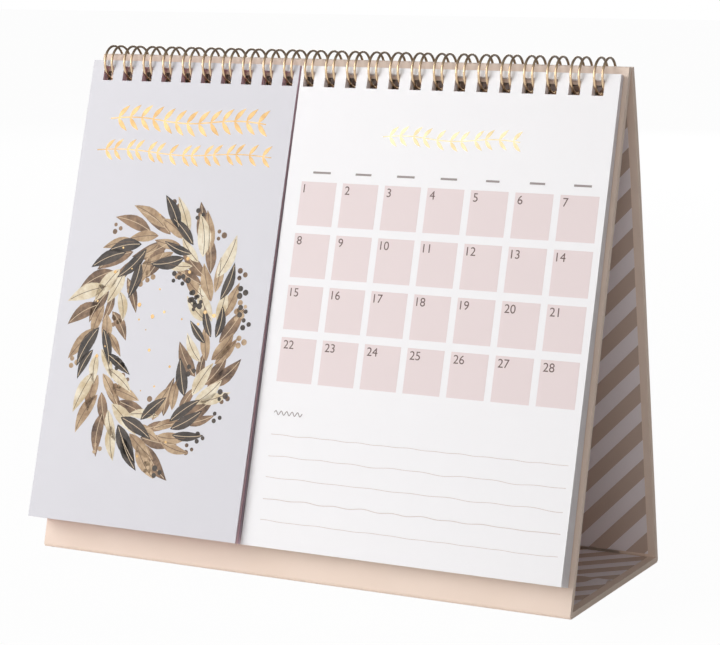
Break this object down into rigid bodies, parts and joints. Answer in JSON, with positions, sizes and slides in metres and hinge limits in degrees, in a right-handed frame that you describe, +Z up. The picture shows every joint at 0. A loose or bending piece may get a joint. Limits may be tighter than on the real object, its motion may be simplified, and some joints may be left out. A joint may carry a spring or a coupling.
{
  "type": "desk calendar",
  "caption": "Free-standing desk calendar: triangular paper-covered easel, two side-by-side pads of turning leaves on one twin-loop wire.",
  "frame": {"origin": "centre of the base's underside", "axes": "+Z up, -Y to the front where the leaves are read, +X to the reader's right"},
  "size_m": [0.211, 0.0903, 0.1824],
  "materials": {
    "cover_paper": "matt peach-cream covering paper",
    "greyboard": "raw grey bookbinding board",
    "lining_paper": "matt printed paper with slanted stripes",
    "picture_card": "uncoated card printed pale lilac",
    "month_card": "uncoated white card, printed",
    "wire": "antique gold coated steel wire"
  },
  "bodies": {
    "stand": {"cover_paper": "cover_paper", "front_board": "greyboard", "rear_board": "greyboard", "base_board_front": "greyboard", "base_board_rear": "greyboard", "front_lining": "lining_paper", "rear_lining": "lining_paper", "base_lining": "lining_paper", "wire_binding": "wire"},
    "picture_leaf_6": {"picture_leaf_6": "picture_card"},
    "picture_leaf_5": {"picture_leaf_5": "picture_card"},
    "picture_leaf_4": {"picture_leaf_4": "picture_card"},
    "picture_leaf_3": {"picture_leaf_3": "picture_card"},
    "picture_leaf_2": {"picture_leaf_2": "picture_card"},
    "picture_leaf_1": {"picture_leaf_1": "picture_card"},
    "month_leaf_6": {"month_leaf_6": "month_card"},
    "month_leaf_5": {"month_leaf_5": "month_card"},
    "month_leaf_4": {"month_leaf_4": "month_card"},
    "month_leaf_3": {"month_leaf_3": "month_card"},
    "month_leaf_2": {"month_leaf_2": "month_card"},
    "month_leaf_1": {"month_leaf_1": "month_card"}
  },
  "joints": [
    {"name": "picture_leaf_6_turn", "type": "hinge", "parent": "stand", "child": "picture_leaf_6", "pos_m": [0, 0.00501, 0.17584], "axis": [-1, 0, 0], "range_deg": [0, 14]},
    {"name": "picture_leaf_5_turn", "type": "hinge", "parent": "picture_leaf_6", "child": "picture_leaf_5", "pos_m": [0, 0.00501, 0.17584], "axis": [-1, 0, 0], "range_deg": [0, 14]},
    {"name": "picture_leaf_4_turn", "type": "hinge", "parent": "picture_leaf_5", "child": "picture_leaf_4", "pos_m": [0, 0.00501, 0.17584], "axis": [-1, 0, 0], "range_deg": [0, 14]},
    {"name": "picture_leaf_3_turn", "type": "hinge", "parent": "picture_leaf_4", "child": "picture_leaf_3", "pos_m": [0, 0.00501, 0.17584], "axis": [-1, 0, 0], "range_deg": [0, 14]},
    {"name": "picture_leaf_2_turn", "type": "hinge", "parent": "picture_leaf_3", "child": "picture_leaf_2", "pos_m": [0, 0.00501, 0.17584], "axis": [-1, 0, 0], "range_deg": [0, 14]},
    {"name": "picture_leaf_1_turn", "type": "hinge", "parent": "picture_leaf_2", "child": "picture_leaf_1", "pos_m": [0, 0.00501, 0.17584], "axis": [-1, 0, 0], "range_deg": [0, 110]},
    {"name": "month_leaf_6_turn", "type": "hinge", "parent": "stand", "child": "month_leaf_6", "pos_m": [0, 0.00501, 0.17584], "axis": [-1, 0, 0], "range_deg": [0, 14]},
    {"name": "month_leaf_5_turn", "type": "hinge", "parent": "month_leaf_6", "child": "month_leaf_5", "pos_m": [0, 0.00501, 0.17584], "axis": [-1, 0, 0], "range_deg": [0, 14]},
    {"name": "month_leaf_4_turn", "type": "hinge", "parent": "month_leaf_5", "child": "month_leaf_4", "pos_m": [0, 0.00501, 0.17584], "axis": [-1, 0, 0], "range_deg": [0, 14]},
    {"name": "month_leaf_3_turn", "type": "hinge", "parent": "month_leaf_4", "child": "month_leaf_3", "pos_m": [0, 0.00501, 0.17584], "axis": [-1, 0, 0], "range_deg": [0, 14]},
    {"name": "month_leaf_2_turn", "type": "hinge", "parent": "month_leaf_3", "child": "month_leaf_2", "pos_m": [0, 0.00501, 0.17584], "axis": [-1, 0, 0], "range_deg": [0, 14]},
    {"name": "month_leaf_1_turn", "type": "hinge", "parent": "month_leaf_2", "child": "month_leaf_1", "pos_m": [0, 0.00501, 0.17584], "axis": [-1, 0, 0], "range_deg": [0, 110]}
  ]
}
